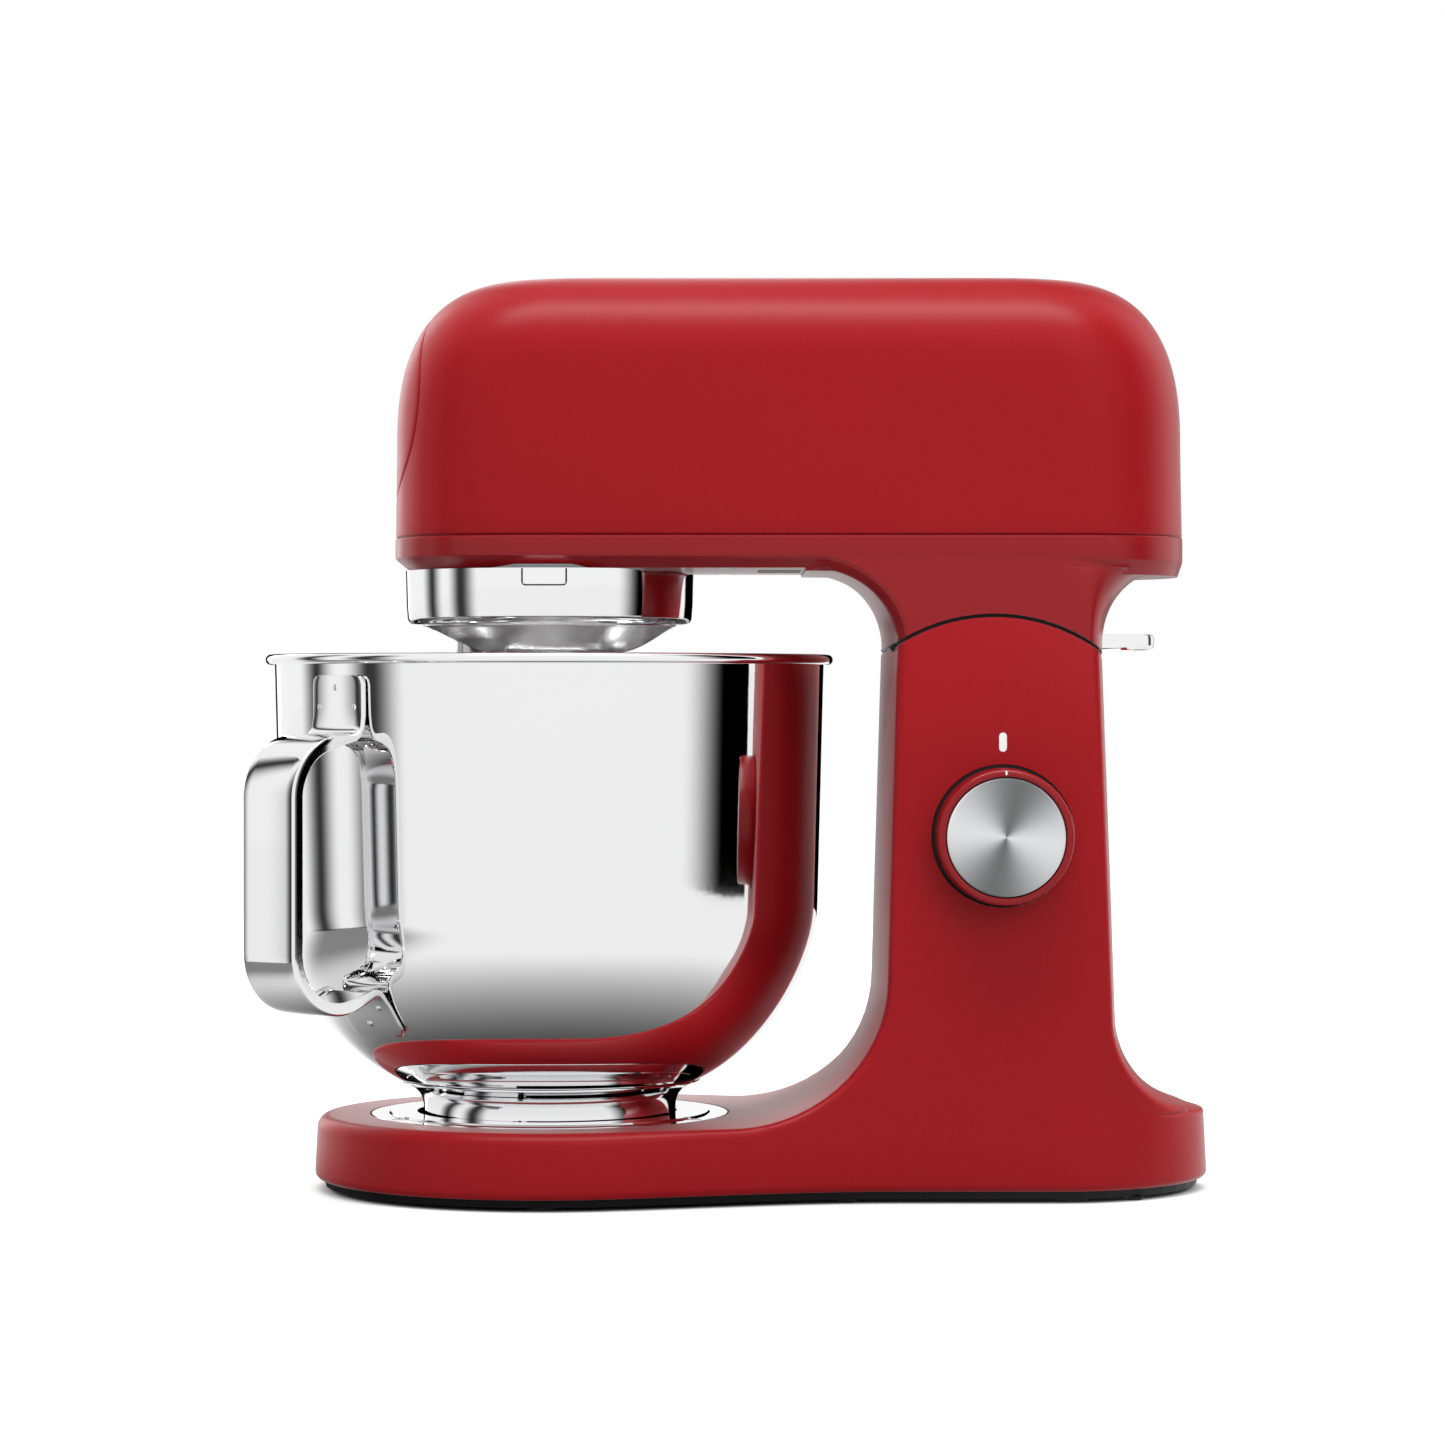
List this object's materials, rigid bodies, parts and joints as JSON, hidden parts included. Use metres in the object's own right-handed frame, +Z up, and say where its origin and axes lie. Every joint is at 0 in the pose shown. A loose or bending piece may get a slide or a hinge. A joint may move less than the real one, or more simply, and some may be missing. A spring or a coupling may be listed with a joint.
{
  "type": "stand mixer",
  "caption": "Tilt-head kitchen stand mixer with a rounded box head, slim column, round-nosed base, steel bowl with strap handle and planetary beater drive.",
  "frame": {"origin": "middle of the part's footprint, on the worktop", "axes": "+Z up, +X from the bowl towards the column and the rear of the head, -Y on the side of the control knob"},
  "size_m": [0.352, 0.2121, 0.338],
  "materials": {
    "red_cover": "fine satin paint",
    "red_casing": "satin paint, a little darker",
    "red_knob": "gloss",
    "chrome": "polished",
    "mirror_steel": "mirror polished stainless steel",
    "polished_strap": "polished",
    "brushed_metal": "spun, radial grain",
    "hub_metal": "satin, brushed",
    "tool_metal": "satin cast",
    "steel": "machined",
    "cast_metal": "as cast",
    "black_plastic": "fine moulded grain",
    "grey_plastic": "moulded",
    "rubber": "matt",
    "white_lens": "diffusing",
    "board": "solder resist",
    "bronze": "sintered bush",
    "copper": "wound",
    "nylon": "moulded gear"
  },
  "bodies": {
    "stand": {"stand_casting": "red_cover", "base_plate": "black_plastic", "rubber_feet": "rubber", "base_screws": "steel", "seat_plate": "chrome", "seat_screws": "steel", "knob_bezel": "black_plastic", "speed_control": "grey_plastic", "indicator_lens": "white_lens", "lamp_board": "board", "control_board": "board", "hinge_bushes": "bronze", "keeper_plate": "steel", "interlock_switch": "black_plastic", "cord_inlet": "black_plastic"},
    "head": {"head_cover": "red_cover", "head_casing": "red_casing", "hub_ring": "chrome", "hub_catch": "chrome", "badge_disc": "red_cover", "cover_screws": "steel", "slot_cover": "black_plastic", "hinge_yoke": "cast_metal", "hinge_pin": "steel", "yoke_screws": "steel", "lever_pin": "steel", "motor_body": "grey_plastic", "motor_bracket": "cast_metal", "motor_bearings": "steel", "gearbox_case": "cast_metal", "gearbox_lid": "cast_metal", "ring_gear": "steel", "shaft_bearings": "steel", "drive_belt": "rubber"},
    "hub": {"planet_carrier": "hub_metal", "carrier_shaft": "steel", "main_gear": "nylon"},
    "tool": {"tool_spindle": "steel", "planet_gear": "steel", "drive_pin": "steel", "beater": "tool_metal"},
    "layshaft": {"jackshaft": "steel", "pinion": "steel", "large_pulley": "black_plastic"},
    "rotor": {"motor_shaft": "steel", "armature": "copper", "motor_pulley": "black_plastic", "cooling_fan": "black_plastic"},
    "lever": {"release_lever": "chrome", "lever_spring": "steel"},
    "knob": {"knob_body": "red_knob", "knob_cap": "brushed_metal", "knob_shaft": "steel"},
    "bowl": {"bowl_shell": "mirror_steel", "bowl_foot": "chrome", "bowl_handle": "polished_strap", "handle_rivets": "steel"}
  },
  "joints": [
    {"name": "head_tilt", "type": "hinge", "parent": "stand", "child": "head", "pos_m": [0.0935, 0, 0.1477], "axis": [0, 1, 0], "range_deg": [0, 45]},
    {"name": "bowl_twist", "type": "hinge", "parent": "stand", "child": "bowl", "pos_m": [-0.07, 0, 0], "axis": [0, 0, 1], "range_deg": [0, 30]},
    {"name": "knob_turn", "type": "hinge", "parent": "stand", "child": "knob", "pos_m": [0.0964, 0, 0.1328], "axis": [0, 1, 0], "range_deg": [-40, 250]},
    {"name": "lever_press", "type": "hinge", "parent": "head", "child": "lever", "pos_m": [0.1175, 0, 0.2145], "axis": [0, 1, 0], "range_deg": [-9, 0], "stiffness_Nm_per_rad": 0.6},
    {"name": "hub_spin", "type": "hinge", "parent": "head", "child": "hub", "pos_m": [-0.07, 0, 0], "axis": [0, 0, 1], "continuous": true},
    {"name": "tool_spin", "type": "hinge", "parent": "hub", "child": "tool", "pos_m": [-0.1, 0, 0], "axis": [0, 0, 1], "continuous": true},
    {"name": "layshaft_spin", "type": "hinge", "parent": "head", "child": "layshaft", "pos_m": [-0.02625, 0, 0], "axis": [0, 0, 1], "continuous": true},
    {"name": "rotor_spin", "type": "hinge", "parent": "head", "child": "rotor", "pos_m": [0.034, 0, 0], "axis": [0, 0, 1], "continuous": true}
  ],
  "couplings": [
    {"joint": "tool_spin", "follows": "hub_spin", "ratio": -2.8182},
    {"joint": "layshaft_spin", "follows": "hub_spin", "ratio": -4},
    {"joint": "rotor_spin", "follows": "hub_spin", "ratio": -14}
  ]
}
